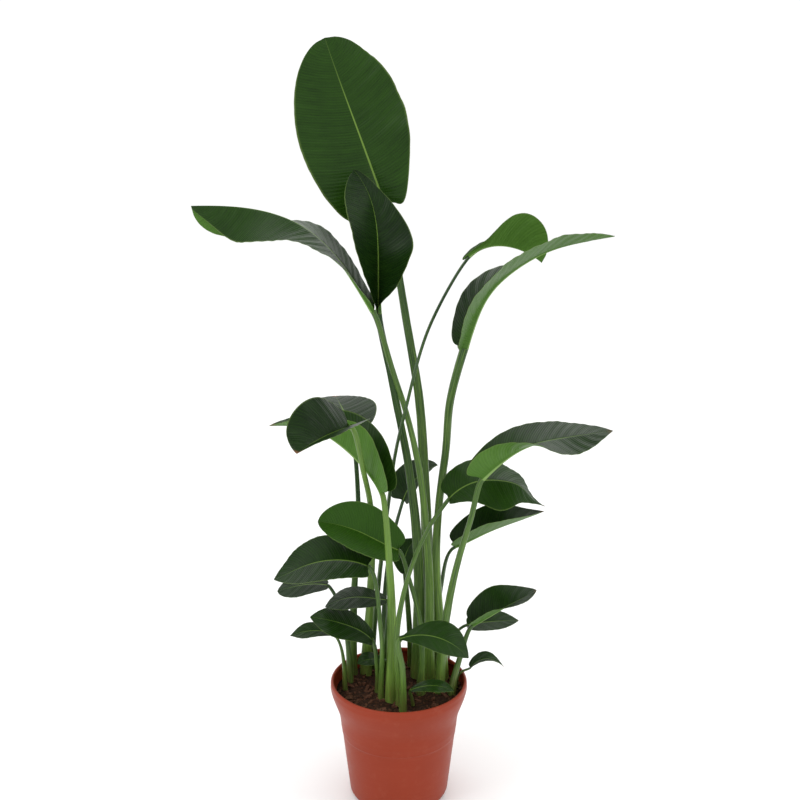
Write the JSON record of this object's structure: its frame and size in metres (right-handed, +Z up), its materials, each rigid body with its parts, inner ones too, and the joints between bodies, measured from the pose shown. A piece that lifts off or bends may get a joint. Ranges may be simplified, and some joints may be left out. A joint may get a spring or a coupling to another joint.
{
  "type": "potted bird of paradise",
  "caption": "Upright foliage plant with broad paddle leaves on long stalks, rooted in potting mix in a round flared nursery pot.",
  "frame": {"origin": "centre of the pot's flat underside", "axes": "+Z up along the pot's axis, -Y towards the plant's front, +X to its right as seen from the front"},
  "size_m": [0.6781, 0.3685, 1.3168],
  "materials": {
    "pot": "satin terracotta-coloured plastic",
    "soil": "damp coir and bark potting mix",
    "leaf": "satin leaf, darker and glossier above",
    "stalk": "satin stalk with fine lengthwise streaks"
  },
  "bodies": {
    "root": {"pot": "pot", "soil": "soil", "leaf_01": "leaf", "leaf_02": "leaf", "leaf_03": "leaf", "leaf_04": "leaf", "leaf_05": "leaf", "leaf_06": "leaf", "leaf_07": "leaf", "leaf_08": "leaf", "leaf_09": "leaf", "leaf_10": "leaf", "leaf_11": "leaf", "leaf_12": "leaf", "leaf_13": "leaf", "leaf_14": "leaf", "leaf_15": "leaf", "leaf_16": "leaf", "leaf_17": "leaf", "leaf_18": "leaf", "leaf_19": "leaf", "leaf_20": "leaf", "leaf_21": "leaf", "leaf_22": "leaf", "leaf_23": "leaf", "leaf_24": "leaf", "leaf_25": "leaf", "stalk_01": "stalk", "stalk_02": "stalk", "stalk_03": "stalk", "stalk_04": "stalk", "stalk_05": "stalk", "stalk_06": "stalk", "stalk_07": "stalk", "stalk_08": "stalk", "stalk_09": "stalk", "stalk_10": "stalk", "stalk_11": "stalk", "stalk_12": "stalk", "stalk_13": "stalk", "stalk_14": "stalk", "stalk_15": "stalk", "stalk_16": "stalk", "stalk_17": "stalk", "stalk_18": "stalk", "stalk_19": "stalk", "stalk_20": "stalk", "stalk_21": "stalk", "stalk_22": "stalk", "stalk_23": "stalk", "stalk_24": "stalk", "stalk_25": "stalk"}
  },
  "joints": []
}
